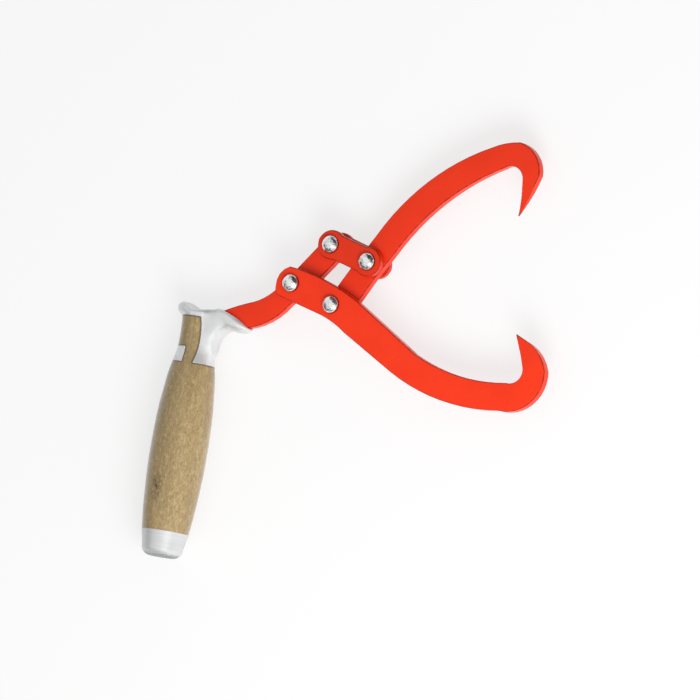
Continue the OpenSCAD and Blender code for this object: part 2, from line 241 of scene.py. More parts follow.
def handle_frame():
    """The matrix from the handle's own axes, which run across it, up and down it, and its length."""
    cap_end = Vector(MOUNTS["cap_end"]["pos_m"])
    down = Vector(MOUNTS["cap_end"]["axis"]).normalized()
    up = Vector((0, 0, 1))
    across = up.cross(down)
    length = max((cap_end - v.co).dot(down) for v in frame["nodes"]["grip"].data.vertices)
    turn = Matrix((across, up, down)).transposed().to_4x4()
    return Matrix.Translation(cap_end - down * length) @ turn, length


HANDLE, CAP_END = handle_frame()
# Where the wood's small knot is: across the handle, up, and down it
KNOT = (-3.4 * MM, 18.7 * MM, 120.7 * MM)


# Meshes

def new_object(name, mesh):
    piece = bpy.data.objects.new(name, mesh)
    bpy.context.scene.collection.objects.link(piece)
    return piece


def merged_copy(node, name):
    """A copy of a node's solid with its loose triangles joined up."""
    piece = new_object(name, frame["nodes"][node].data.copy())
    shell = bmesh.new()
    shell.from_mesh(piece.data)
    bmesh.ops.remove_doubles(shell, verts=shell.verts, dist=MERGE)
    shell.to_mesh(piece.data)
    shell.free()
    return piece


def bake_modifiers(piece):
    """Turns a piece's modifiers into a plain mesh."""
    graph = bpy.context.evaluated_depsgraph_get()
    mesh = bpy.data.meshes.new_from_object(piece.evaluated_get(graph))
    piece.modifiers.clear()
    piece.data = mesh


def remesh(piece, size):
    modifier = piece.modifiers.new("remesh", "REMESH")
    modifier.mode = "VOXEL"
    modifier.voxel_size = size
    bake_modifiers(piece)


def cut(piece, tool, operation="DIFFERENCE"):
    modifier = piece.modifiers.new("cut", "BOOLEAN")
    modifier.operation = operation
    modifier.solver = "EXACT"
    modifier.object = tool
    bake_modifiers(piece)


def discard(*pieces):
    for piece in pieces:
        bpy.data.objects.remove(piece)


def join(piece, *others):
    """Moves the meshes of others into piece, without merging them."""
    shell = bmesh.new()
    for part in (piece, *others):
        shell.from_mesh(part.data)
    shell.to_mesh(piece.data)
    shell.free()
    discard(*others)


def read_points(mesh):
    points = np.empty(len(mesh.vertices) * 3)
    mesh.vertices.foreach_get("co", points)
    return points.reshape(-1, 3)


def read_normals(mesh):
    """The way that the surface faces at each point of a mesh."""
    normals = np.empty(len(mesh.vertices) * 3)
    mesh.vertex_normals.foreach_get("vector", normals)
    return normals.reshape(-1, 3)


def write_points(mesh, points):
    mesh.vertices.foreach_set("co", points.ravel())
    mesh.update()


def mark(mesh, name, values):
    """Stores a number for each point of a mesh, for a finish or a node tree to read."""
    mesh.attributes.new(name, "FLOAT", "POINT").data.foreach_set("value", values)


def rub(mesh, rounds, hold=None, pull=0.5, push=-0.52):
    """Rubs a mesh smooth. Each pull towards the neighbours is followed by a push that keeps the
    mesh's size, unless push is 0. hold is 0 where a point moves freely and 1 where it stays."""
    points = read_points(mesh)
    count = len(points)
    ends = np.empty(len(mesh.edges) * 2, dtype=np.int32)
    mesh.edges.foreach_get("vertices", ends)
    a, b = ends[0::2], ends[1::2]
    neighbours = np.maximum(np.bincount(a, minlength=count) + np.bincount(b, minlength=count), 1)
    free = np.ones(count) if hold is None else 1 - hold
    for _ in range(rounds):
        for step in (pull, push) if push else (pull,):
            total = np.stack([np.bincount(a, points[b, k], count) + np.bincount(b, points[a, k], count)
                              for k in range(3)], axis=1)
            points += (total / neighbours[:, None] - points) * (step * free)[:, None]
    write_points(mesh, points)


def flatten_folds(mesh, rounds):
    """Spreads the folds between the flats of a bar's faces, and leaves its edges."""
    facing = np.abs(read_normals(mesh)[:, 2])
    rub(mesh, rounds, hold=1 - ramp(facing, 0.9, 0.98), pull=1.0, push=0.0)


def ramp(values, low, high):
    """0 below low, 1 above high, and straight between them."""
    return np.clip((values - low) / (high - low), 0, 1)


def flatten_neck(mesh, gap, rounds):
    """Stretches the faces of the casting's neck, beyond the handle's own round, into one sweep."""
    facing = np.abs(read_normals(mesh)[:, 2])
    turn = np.array(HANDLE.inverted())
    across = (read_points(mesh) @ turn[:3, :3].T + turn[:3, 3])[:, 0]
    free = ramp(across, *NECK_START) * ramp(facing, 0.25, 0.55) * ramp(gap, *ARM_MARGIN)
    rub(mesh, rounds, hold=1 - free, pull=1.0, push=0.0)


def fill_hollows(piece, reach, grain):
    """Gives every hollow corner a fillet of this radius: out by reach, merged, and back in."""
    for distance in (reach, -reach):
        rub(piece.data, 6)
        write_points(piece.data, read_points(piece.data) + read_normals(piece.data) * distance)
        remesh(piece, grain)


def mark_shaded_edges(mesh):
    """Marks a bar's rounded edges, where the paint is darkened as painted shade."""
    facing = np.abs(read_normals(mesh)[:, 2])
    mark(mesh, "edge", ramp(facing, 0.05, 0.3) * (1 - ramp(facing, 0.75, 0.95)))


def mark_point(mesh, reach):
    """Marks what is within reach of the point of a jaw that bites the log."""
    apart = read_points(mesh) - np.array(MOUNTS["log_bite"]["pos_m"])
    apart = np.hypot(apart[:, 0], apart[:, 1])
    mark(mesh, "point", 1 - ramp(apart - apart.min(), 0, reach))


def mark_joints(piece, metal, width):
    """Marks how near each point of a piece is to the metal that it meets."""
    near = BVHTree.FromObject(metal, bpy.context.evaluated_depsgraph_get())
    gaps = [near.find_nearest(v.co)[3] for v in piece.data.vertices]
    mark(piece.data, "joint", [max(0.0, 1 - gap / width) ** 0.5 for gap in gaps])


def hammer(mesh, depth, spacing):
    """Moves the points in and out a little, as on a surface finished with a hammer."""
    points = read_points(mesh)
    waves = np.array([noise.noise(Vector(p) / spacing) for p in points])
    write_points(mesh, points - read_normals(mesh) * (np.abs(waves) * depth)[:, None])


def smooth_shade(piece, sharp_angle=None):
    mesh = piece.data
    mesh.polygons.foreach_set("use_smooth", np.ones(len(mesh.polygons), dtype=bool))
    if sharp_angle is not None:
        mesh.set_sharp_from_angle(angle=sharp_angle)
    mesh.update()


def lathe(name, profile, segments):
    """A body turned round the handle's axis from (distance down, radius) pairs, closed at both ends."""
    circle = [(math.cos(math.tau * k / segments), math.sin(math.tau * k / segments))
              for k in range(segments)]
    return skinned(name, [[(radius * x, radius * y, down) for x, y in circle] for down, radius in profile])


def prism(name, outline, start, end):
    """A body with one outline across the handle, from start to end down it."""
    return skinned(name, [[(x, y, down) for x, y in outline] for down in (start, end)])


def skinned(name, rings):
    """A closed body through rings of points, all of one length, given on the handle's own axes."""
    shell = bmesh.new()
    rings = [[shell.verts.new(point) for point in ring] for ring in rings]
    count = len(rings[0])
    for low, high in zip(rings, rings[1:]):
        for k in range(count):
            n = (k + 1) % count
            shell.faces.new((low[k], low[n], high[n], high[k]))
    shell.faces.new(list(reversed(rings[0])))
    shell.faces.new(rings[-1])
    mesh = bpy.data.meshes.new(name)
    shell.to_mesh(mesh)
    shell.free()
    mesh.transform(HANDLE)
    return face_outward(new_object(name, mesh))


def face_outward(piece):
    """Turns every face of a closed piece outward."""
    shell = bmesh.new()
    shell.from_mesh(piece.data)
    bmesh.ops.recalc_face_normals(shell, faces=shell.faces)
    shell.to_mesh(piece.data)
    shell.free()
    return piece


# Node trees

def fill_in(tree, node, values):
    """Sets a node's sockets by name or number; a value that is a node's output is linked."""
    for name, value in values.items():
        if isinstance(value, bpy.types.NodeSocket):
            tree.links.new(value, node.inputs[name])
        else:
            node.inputs[name].default_value = value


def node_of(tree, kind, place, **values):
    """A node with its settings and its sockets set by name; an underscore stands for a space."""
    node = tree.nodes.new(kind)
    node.location = place
    for key, value in values.items():
        if hasattr(node, key):
            setattr(node, key, value)
        else:
            fill_in(tree, node, {key.replace("_", " "): value})
    return node


def math_of(tree, operation, first, second):
    """An operation on two values, each of them a number or a node's output."""
    node = node_of(tree, "ShaderNodeMath", (-300, 300), operation=operation)
    fill_in(tree, node, {0: first, 1: second})
    return node.outputs["Value"]


def new_tree(name, inputs):
    """An empty Geometry Nodes tree with named inputs, and the sockets that give them."""
    tree = bpy.data.node_groups.new(name, "GeometryNodeTree")
    tree.interface.new_socket("Geometry", in_out="OUTPUT", socket_type="NodeSocketGeometry")
    for label, kind in {"Geometry": "Geometry", **inputs, "Finish": "Material"}.items():
        tree.interface.new_socket(label, in_out="INPUT", socket_type="NodeSocket" + kind)
    return tree, node_of(tree, "NodeGroupInput", (-1200, 0)).outputs


def end_tree(tree, geometry, finish):
    """Ends a tree with plain geometry in its finish."""
    plain = node_of(tree, "GeometryNodeRealizeInstances", (1100, 0), Geometry=geometry)
    dressed = node_of(tree, "GeometryNodeSetMaterial", (1250, 0),
                      Geometry=plain.outputs["Geometry"], Material=finish)
    node_of(tree, "NodeGroupOutput", (1400, 0), Geometry=dressed.outputs["Geometry"])


def stored(tree, name):
    """The number that each point carries under a name."""
    node = node_of(tree, "GeometryNodeInputNamedAttribute", (-500, 0), data_type="FLOAT", Name=name)
    return node.outputs["Attribute"]


def apply_tree(piece, tree, values):
    """Runs a Geometry Nodes tree on a piece, with its inputs set by name, and keeps the plain result."""
    modifier = piece.modifiers.new(tree.name, "NODES")
    modifier.node_group = tree
    identifiers = {socket.name: socket.identifier for socket in tree.interface.items_tree
                   if socket.item_type == "SOCKET" and socket.in_out == "INPUT"}
    for name, value in values.items():
        modifier[identifiers[name]] = value
    bake_modifiers(piece)


def turning_tree():
    """Geometry Nodes: a body turned round a line whose points carry its radius."""
    tree, given = new_tree("turned_blank", {"Facets": "Int", "Shrinkage": "Float"})
    axis = node_of(tree, "GeometryNodeMeshToCurve", (-600, 200), Mesh=given["Geometry"])
    ring = node_of(tree, "GeometryNodeCurvePrimitiveCircle", (-400, -200),
                   Radius=1.0, Resolution=given["Facets"])
    sweep = node_of(tree, "GeometryNodeCurveToMesh", (-100, 0), Fill_Caps=True,
                    Curve=axis.outputs["Curve"], Profile_Curve=ring.outputs["Curve"],
                    Scale=math_of(tree, "SUBTRACT", stored(tree, "turning_radius"), given["Shrinkage"]))
    end_tree(tree, sweep.outputs["Mesh"], given["Finish"])
    return tree


def rivet_tree():
    """Geometry Nodes: a shank on every edge, and a domed head on every end of one."""
    tree, given = new_tree("domed_rivets", {
        "Head Radius": "Float", "Shank Radius": "Float", "Dent Depth": "Float", "Dents per Metre": "Float"})
    axes = node_of(tree, "GeometryNodeMeshToCurve", (-900, 300), Mesh=given["Geometry"])
    ring = node_of(tree, "GeometryNodeCurvePrimitiveCircle", (-900, 100),
                   Resolution=SHANK_FACETS, Radius=given["Shank Radius"])
    shank = node_of(tree, "GeometryNodeCurveToMesh", (-700, 300), Fill_Caps=True,
                    Curve=axes.outputs["Curve"], Profile_Curve=ring.outputs["Curve"])

    # One head: a ball of radius 1 with its lower half pressed flat, and its rim marked
    ball = node_of(tree, "GeometryNodeMeshUVSphere", (-900, -200), Segments=56, Rings=32, Radius=1.0)
    place = node_of(tree, "GeometryNodeInputPosition", (-900, -400)).outputs["Position"]
    split = node_of(tree, "ShaderNodeSeparateXYZ", (-700, -400), Vector=place).outputs
    pressed = node_of(tree, "ShaderNodeCombineXYZ", (-300, -400), X=split["X"], Y=split["Y"],
                      Z=math_of(tree, "MAXIMUM", split["Z"], 0))
    dome = node_of(tree, "GeometryNodeSetPosition", (-100, -200),
                   Geometry=ball.outputs["Mesh"], Position=pressed.outputs["Vector"])
    level = node_of(tree, "ShaderNodeCombineXYZ", (-300, -300), X=split["X"], Y=split["Y"])
    reach = node_of(tree, "ShaderNodeVectorMath", (-100, -400), operation="LENGTH",
                    Vector=level.outputs["Vector"])
    head = node_of(tree, "GeometryNodeStoreNamedAttribute", (0, -200), Name="rim",
                   Geometry=dome.outputs["Geometry"], Value=reach.outputs["Value"])

    # A head on each end of a line, as wide and as high as that end says
    scale = node_of(tree, "ShaderNodeCombineXYZ", (-300, 0), X=given["Head Radius"],
                    Y=given["Head Radius"], Z=stored(tree, "head_height"))
    turn = node_of(tree, "ShaderNodeCombineXYZ", (-300, -150), X=stored(tree, "turned_over"))
    heads = node_of(tree, "GeometryNodeInstanceOnPoints", (200, 0),
                    Points=given["Geometry"], Instance=head.outputs["Geometry"],
                    Rotation=turn.outputs["Vector"], Scale=scale.outputs["Vector"])
    solid = node_of(tree, "GeometryNodeRealizeInstances", (400, 0), Geometry=heads.outputs["Instances"])

    # Hammer marks
    marks = node_of(tree, "ShaderNodeTexNoise", (300, -300), Detail=1.0, Scale=given["Dents per Metre"])
    depth = math_of(tree, "MULTIPLY", math_of(tree, "SUBTRACT", marks.outputs["Fac"], DENT_LEVEL),
                    given["Dent Depth"])
    normal = node_of(tree, "GeometryNodeInputNormal", (650, -450)).outputs["Normal"]
    push = node_of(tree, "ShaderNodeVectorMath", (800, -300), operation="SCALE", Vector=normal, Scale=depth)
    dented = node_of(tree, "GeometryNodeSetPosition", (850, 0),
                     Geometry=solid.outputs["Geometry"], Offset=push.outputs["Vector"])
    whole = node_of(tree, "GeometryNodeJoinGeometry", (1000, 0))
    fill_in(tree, whole, {"Geometry": dented.outputs["Geometry"]})
    fill_in(tree, whole, {"Geometry": shank.outputs["Mesh"]})
    end_tree(tree, whole.outputs["Geometry"], given["Finish"])
    return tree


# Finishes

def new_finish(name):
    """A material, its node tree and the tree's main shader."""
    material = bpy.data.materials.new(name)
    material.use_nodes = True
    return material, material.node_tree, material.node_tree.nodes["Principled BSDF"]


def shade(colour, *factors):
    """A colour times one factor, or times one for each channel."""
    return tuple(c * k for c, k in zip(colour, factors * 3))


def coordinates(tree, scale=(1, 1, 1), along_handle=False):
    """Object coordinates times scale; along_handle turns them to run down the handle."""
    source = node_of(tree, "ShaderNodeTexCoord", (-1500, 0)).outputs["Object"]
    if along_handle:
        turn = node_of(tree, "ShaderNodeMapping", (-1300, 0), vector_type="TEXTURE",
                       Location=HANDLE.translation, Rotation=HANDLE.to_euler(), Vector=source)
        source = turn.outputs["Vector"]
    stretch = node_of(tree, "ShaderNodeMapping", (-1100, 0), vector_type="POINT",
                      Scale=scale, Vector=source)
    return stretch.outputs["Vector"]


def noise_of(tree, vector, scale, detail=2.0, roughness=0.5, distortion=0.0):
    """Noise from 0 to 1, with scale waves to the metre."""
    node = node_of(tree, "ShaderNodeTexNoise", (-800, 0), Vector=vector, Scale=scale, Detail=detail,
                   Roughness=roughness, Distortion=distortion)
    return node.outputs["Fac"]


def range_of(tree, value, low, high, to_low=0, to_high=1):
    """A value spread from one range to another, and held inside it."""
    node = node_of(tree, "ShaderNodeMapRange", (-600, 0), Value=value, From_Min=low, From_Max=high,
                   To_Min=to_low, To_Max=to_high)
    return node.outputs["Result"]


def mixed(tree, factor, first, second):
    """Two colours mixed; each is a colour or another node's output."""
    node = node_of(tree, "ShaderNodeMix", (-400, 0), data_type="RGBA", Factor=factor)
    numbers = {socket.name: k for k, socket in enumerate(node.inputs) if socket.type == "RGBA"}
    for name, colour in (("A", first), ("B", second)):
        is_output = isinstance(colour, bpy.types.NodeSocket)
        fill_in(tree, node, {numbers[name]: colour if is_output else (*colour, 1)})
    return [socket for socket in node.outputs if socket.type == "RGBA"][0]


def bumped(tree, height, strength, distance, under=None):
    """A surface raised and lowered by a height, over another such surface if there is one."""
    node = node_of(tree, "ShaderNodeBump", (-200, -300), Height=height, Strength=strength,
                   Distance=distance)
    if under is not None:
        fill_in(tree, node, {"Normal": under})
    return node.outputs["Normal"]


def marked(tree, name):
    """The mark that a mesh carries under a name, or 0 where it has none."""
    return node_of(tree, "ShaderNodeAttribute", (-900, -600), attribute_name=name).outputs["Fac"]


def gloss_paint(colours, name, depth):
    """Orange-red gloss paint with a fine orange-peel skin over forged steel."""
    material, tree, shader = new_finish("gloss_paint_" + name)
    # Each bar's paint is darkened by depth, a painted shade that makes some bars darker than others.
    shaded_paint = shade(colours.paint, depth)
    place = coordinates(tree)
    cloud = range_of(tree, noise_of(tree, place, 38, 3), 0.35, 0.65)
    tone = mixed(tree, cloud, shaded_paint, shade(shaded_paint, 0.95, 0.88, 0.88))
    ragged = range_of(tree, noise_of(tree, place, 420, 3), 0.3, 0.6, 0.45, 1)
    # Painted shade darkens the bars' rounded edges; the jaws' points show bare steel where their paint is worn
    # off.
    for darkening, share, colour in (("edge", 0.9, shade(shaded_paint, 0.22)), ("point", 1.0, BARE_STEEL)):
        patch = math_of(tree, "MULTIPLY", range_of(tree, marked(tree, darkening), 0, 1, 0, share), ragged)
        tone = mixed(tree, patch, tone, colour)
    forged = bumped(tree, noise_of(tree, place, 140, 3), 0.25, 0.25 * MM)
    fill_in(tree, shader, {
        "Base Color": tone,
        "Roughness": range_of(tree, noise_of(tree, place, 160, 4), 0.3, 0.7, 0.26, 0.36),
        "Normal": bumped(tree, noise_of(tree, place, 900, 2), 0.10, 0.08 * MM, forged),
        "Specular IOR Level": 0.14,
        "Coat Weight": 0.16,
        "Coat Roughness": 0.10,
    })
    return material


def cast_metal(colours):
    """Satin cast aluminium with the fine grain of its mould."""
    material, tree, shader = new_finish("satin_casting")
    place = coordinates(tree)
    cloud = range_of(tree, noise_of(tree, place, 90, 4), 0.35, 0.7)
    lumps = bumped(tree, noise_of(tree, place, 260, 3), 0.2, 0.2 * MM)
    fill_in(tree, shader, {
        "Base Color": mixed(tree, cloud, colours.casting, shade(colours.casting, 0.9)),
        "Roughness": range_of(tree, noise_of(tree, place, 300, 3), 0.3, 0.7, 0.42, 0.52),
        "Normal": bumped(tree, noise_of(tree, place, 2400, 2), 0.25, 0.05 * MM, lumps),
        "Metallic": 0.6,
    })
    return material


def turned_metal(colours):
    """The end cap's aluminium, with fine lathe lines and a painted dark reflection on its butt."""
    material, tree, shader = new_finish("turned_cap")
    rings = coordinates(tree, (0.04, 0.04, 1), along_handle=True)
    fine = noise_of(tree, rings, 3800, 3)
    bands = range_of(tree, noise_of(tree, rings, 900, 3), 0.3, 0.7)
    tone = mixed(tree, bands, shade(colours.casting, 0.88), shade(colours.casting, 0.82))
    place = coordinates(tree, along_handle=True)
    down = node_of(tree, "ShaderNodeSeparateXYZ", (-900, -400), Vector=place).outputs["Z"]
    # The butt is painted dark, a painted reflection, with a ragged border
    ragged_border = range_of(tree, noise_of(tree, place, 900, 3, 0.7), 0.35, 0.65, -0.9 * MM, 0.9 * MM)
    butt = CAP_END - 2.6 * MM
    darkening = range_of(tree, math_of(tree, "ADD", down, ragged_border), butt, butt + 2.4 * MM)
    fill_in(tree, shader, {
        "Base Color": mixed(tree, darkening, tone, shade(colours.casting, 0.32)),
        "Roughness": range_of(tree, fine, 0.3, 0.7, 0.4, 0.52),
        "Normal": bumped(tree, fine, 0.2, 0.01 * MM),
        "Metallic": 0.55,
    })
    return material


def bright_zinc(colours):
    """Bright zinc plating with hammer marks, and painted shade in the corner round a rivet's head."""
    material, tree, shader = new_finish("bright_zinc")
    place = coordinates(tree)
    cloud = range_of(tree, noise_of(tree, place, 420, 4), 0.4, 0.7)
    tone = mixed(tree, cloud, colours.zinc, shade(colours.zinc, 0.8))
    hammered = bumped(tree, noise_of(tree, place, 560, 2), 0.9, 0.45 * MM)
    fill_in(tree, shader, {
        # A dark ring at the head's rim is painted shade where the head meets its bar
        "Base Color": mixed(tree, range_of(tree, marked(tree, "rim"), 0.93, 0.985), tone, CORNER_SHADE),
        "Roughness": range_of(tree, noise_of(tree, place, 600, 3), 0.3, 0.7, 0.10, 0.22),
        "Normal": bumped(tree, noise_of(tree, place, 1400, 2), 0.9, 0.16 * MM, hammered),
        "Metallic": 1,
    })
    return material


def lacquered_wood(colours):
    """Mottled hardwood under clear lacquer, its grain running down the handle."""
    material, tree, shader = new_finish("lacquered_wood")

    def along_grain(squeeze, *values):
        return noise_of(tree, coordinates(tree, (1, 1, squeeze), True), *values)

    streaks = along_grain(0.15, 110, 3, 0.6)
    grain = along_grain(0.55, 640, 5, 0.8, 0.8)
    pores = along_grain(0.22, 1100, 2, 0.5, 0.4)
    blots = along_grain(0.8, 260, 3, 0.6, 1.2)
    mottle = along_grain(0.7, 430, 3, 0.7, 1.6)
    across = node_of(tree, "ShaderNodeSeparateXYZ", (-900, -300),
                     Vector=coordinates(tree, along_handle=True)).outputs["X"]
    wood, dark = colours.wood, colours.wood_dark
    pale = shade(wood, 1.25, 1.27, 1.25)
    brown = shade(dark, 0.62, 0.55, 0.5)
    tone = mixed(tree, range_of(tree, streaks, 0.4, 0.66, 0, 0.7), wood, dark)
    for share, colour in (
            # The palm side of the grip is painted darker, a painted shade
            (range_of(tree, across, 2 * MM, -13 * MM, 0, 0.45), dark),
            (range_of(tree, blots, 0.56, 0.63, 0, 0.65), pale),
            (range_of(tree, mottle, 0.52, 0.62, 0, 0.7), dark),
            (range_of(tree, grain, 0.47, 0.6, 0, 0.85), dark),
            (range_of(tree, grain, 0.44, 0.34, 0, 0.5), pale),
            (range_of(tree, pores, 0.6, 0.7, 0, 0.5), brown),
            (knot_of(tree, grain), shade(brown, 0.55)),
            (range_of(tree, marked(tree, "joint"), 0, 1, 0, 0.9), shade(brown, 0.4))):
        tone = mixed(tree, share, tone, colour)
    relief = bumped(tree, grain, 0.25, 0.12 * MM)
    pits = range_of(tree, pores, 0.6, 0.7, 1, 0)
    fill_in(tree, shader, {
        "Base Color": tone,
        "Roughness": range_of(tree, grain, 0.3, 0.7, 0.36, 0.52),
        "Normal": bumped(tree, pits, 0.3, 0.12 * MM, relief),
        "Specular IOR Level": 0.35,
        "Coat Weight": 0.4,
        "Coat Roughness": 0.25,
        "Sheen Weight": 0.8,
        "Sheen Roughness": 0.35,
    })
    return material


def knot_of(tree, grain):
    """1 at the small knot in the wood, near the cap on the palm side, and 0 away from it."""
    squeeze = 0.4
    apart = node_of(tree, "ShaderNodeVectorMath", (-800, -500), operation="DISTANCE")
    fill_in(tree, apart, {0: coordinates(tree, (1, 1, squeeze), True),
                          1: (KNOT[0], KNOT[1], KNOT[2] * squeeze)})
    spot = range_of(tree, apart.outputs["Value"], 1.2 * MM, 5.5 * MM, 1, 0)
    return math_of(tree, "MULTIPLY", spot, range_of(tree, grain, 0.45, 0.55, 0.1, 1))


def dress(piece, material):
    piece.data.materials.clear()
    piece.data.materials.append(material)


def settle(piece, *nodes):
    """Hides the nodes that the piece stands for, and hangs the piece on their body."""
    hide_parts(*nodes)
    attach(piece, BODY_OF[nodes[0]])


# Steps

class TONGS_OT_bars(bpy.types.Operator):
    """Forge the arm, both jaws and both links"""

    bl_idname = "tongs.bars"
    bl_label = "Forged Bars"

    def execute(self, context):
        sizes = context.scene.tongs.bars
        for node, depth in BAR_SHADES.items():
            piece = merged_copy(node, "forged_" + node)
            remesh(piece, sizes.grain)
            rub(piece.data, sizes.rounding, push=-0.5)
            flatten_folds(piece.data, sizes.fold_spread)
            hammer(piece.data, sizes.unevenness, sizes.ripple)
            mark_shaded_edges(piece.data)
            if node in JAWS:
                mark_point(piece.data, sizes.bare_point)
            smooth_shade(piece)
            dress(piece, gloss_paint(context.scene.tongs.colours, node, depth))
            settle(piece, node)
        return {"FINISHED"}


def rivet_lines(name, nodes):
    """One edge for each rivet, from its back seat to its front one, and the head's radius."""
    ends, heights, tilts, radii = [], [], [], []
    for node in nodes:
        points = read_points(frame["nodes"][node].data)
        low, high = points.min(axis=0), points.max(axis=0)
        middle = (low + high) / 2
        reach = np.hypot(points[:, 0] - middle[0], points[:, 1] - middle[1])
        radii.append(reach.max())
        rim = points[reach > reach.max() * 0.999, 2]
        for seat, tip, tilt in ((rim.min(), low[2], math.pi), (rim.max(), high[2], 0.0)):
            ends.append((middle[0], middle[1], seat))
            heights.append(abs(tip - seat))
            tilts.append(tilt)
    mesh = bpy.data.meshes.new(name)
    mesh.from_pydata(ends, [(k, k + 1) for k in range(0, len(ends), 2)], [])
    mark(mesh, "head_height", heights)
    mark(mesh, "turned_over", tilts)
    return new_object(name, mesh), max(radii)


class TONGS_OT_rivets(bpy.types.Operator):
    """Set the domed rivets"""

    bl_idname = "tongs.rivets"
    bl_label = "Rivets"

    def execute(self, context):
        sizes = context.scene.tongs.rivets
        zinc = bright_zinc(context.scene.tongs.colours)
        tree = rivet_tree()
        for body, nodes in RIVETS.items():
            piece, head_radius = rivet_lines("rivets_of_" + body, nodes)
            apply_tree(piece, tree, {
                "Head Radius": head_radius, "Shank Radius": RIVET_SHANK - sizes.shank_play,
                "Dent Depth": sizes.dents, "Dents per Metre": sizes.dents_per_metre, "Finish": zinc})
            smooth_shade(piece, math.radians(50))
            settle(piece, *nodes)
        return {"FINISHED"}


def turned_profile(node, step, until):
    """Distances down a turned node and its outside's radii there, evenly spaced and eased."""
    points = read_points(frame["nodes"][node].data)
    local = np.array([HANDLE.inverted() @ Vector(p) for p in points])
    down = np.round(local[:, 2], 5)
    radius = np.hypot(local[:, 0], local[:, 1])
    outer = []
    for station in np.unique(down):
        ring = radius[down == station]
        if station <= until and (ring > ring.max() - RING_MARGIN).sum() >= RING_POINTS:
            outer.append((station, ring.max()))
    places, radii = np.array(outer).T
    even = np.arange(places[0], places[-1] + step / 2, step)
    plain = np.interp(even, places, radii)
    spread = max(1, int(EASING / step))
    window = np.hanning(2 * spread + 3)[1:-1]
    before = 2 * plain[0] - plain[spread:0:-1]
    behind = 2 * plain[-1] - plain[-2:-spread - 2:-1]
    padded = np.concatenate([before, plain, behind])
    return even, np.convolve(padded, window / window.sum(), mode="valid")


def turned_line(name, places, radii):
    """A line down the handle's axis whose points carry the radius to turn."""
    mesh = bpy.data.meshes.new(name)
    mesh.from_pydata([(0, 0, d) for d in places], [(k, k + 1) for k in range(len(places) - 1)], [])
    mark(mesh, "turning_radius", radii)
    mesh.transform(HANDLE)
    return new_object(name, mesh)


def handle_room(sizes, places, radii):
    """All the space that wood may fill: inside the prongs, through the strips, and below them."""
    top, low = -0.02 * MM, sizes.prong_length
    inside = [(d, r - sizes.prong_wall) for d, r in zip(places, radii) if d < low + OVERLAP]
    room = lathe("handle_room", [(top, inside[0][1]), *inside[1:]], 96)
    below = lathe("room_below", [(low, OUTSIDE), (CAP_END + 20 * MM, OUTSIDE)], 32)

    # The bare strip: straight on the palm side, bowed on the finger side
    steps = 12
    shares = [k / steps for k in range(steps + 1)]
    edge = [(sizes.strip_finger + sizes.strip_bulge * 4 * t * (1 - t), low * t) for t in shares]
    palm, foot = -sizes.strip_palm, low + OVERLAP / 2
    outline = [(palm, top), (edge[0][0], top), *edge[1:], (edge[-1][0], foot), (palm, foot)]
    strip = skinned("room_strip", [[(u, side * OUTSIDE, s) for u, s in outline] for side in (-1, 1)])

    # The windows on both sides of the narrow spine
    windows = []
    for side in (-1, 1):
        corner = (-OUTSIDE * math.cos(sizes.spine_angle), side * OUTSIDE * math.sin(sizes.spine_angle))
        outline = [(0, 0), (0.2 * MM, side * OUTSIDE), (-OUTSIDE, side * OUTSIDE), corner]
        windows.append(prism("room_side", outline, top, sizes.spine_top))
    for body in (strip, below, *windows):
        cut(room, body, "UNION")
    discard(strip, below, *windows)
    return room


def cast_bolster(sizes, room, arm, places, radii):
    """The casting: its solid and the handle's top in one, blended, less the wood's room and the arm."""
    casting = merged_copy("bolster", "cast_bolster")
    plug = [(d, r) for d, r in zip(places, radii) if d < sizes.prong_length + 2 * OVERLAP]
    join(casting, lathe("plug", plug, 128))
    coarse = sizes.cast_grain * 1.25
    remesh(casting, coarse)
    fill_hollows(casting, sizes.cast_fillet, coarse)
    near = BVHTree.FromObject(arm, bpy.context.evaluated_depsgraph_get())
    gap = np.array([near.find_nearest(p)[3] for p in map(Vector, read_points(casting.data))])
    rub(casting.data, sizes.cast_blend, hold=1 - ramp(gap, 0.5 * MM, 2.5 * MM))
    flatten_neck(casting.data, gap, sizes.neck_blend)
    cut(casting, room)
    cut(casting, arm)
    remesh(casting, sizes.cast_grain)
    rub(casting.data, 3)
    smooth_shade(casting)
    return casting


class TONGS_OT_handle(bpy.types.Operator):
    """Cast the bolster and turn the wooden grip that it holds"""

    bl_idname = "tongs.handle"
    bl_label = "Bolster and Grip"

    def execute(self, context):
        settings = context.scene.tongs
        sizes = settings.handle
        places, radii = turned_profile("grip", 0.75 * MM, CAP_END - 1 * MM)
        room = handle_room(sizes, places, radii)
        arm = merged_copy("handle_arm", "arm_tool")
        casting = cast_bolster(sizes, room, arm, places, radii)
        dress(casting, cast_metal(settings.colours))
        settle(casting, "bolster")

        wood = lacquered_wood(settings.colours)
        grip = turned_line("turned_grip", places, radii)
        apply_tree(grip, turning_tree(), {"Facets": 160, "Shrinkage": sizes.wood_shy, "Finish": wood})
        face_outward(grip)
        cut(grip, room, "INTERSECT")
        mark_joints(grip, casting, 1.1 * MM)
        smooth_shade(grip, math.radians(35))
        dress(grip, wood)
        settle(grip, "grip")
        discard(room, arm)
        return {"FINISHED"}


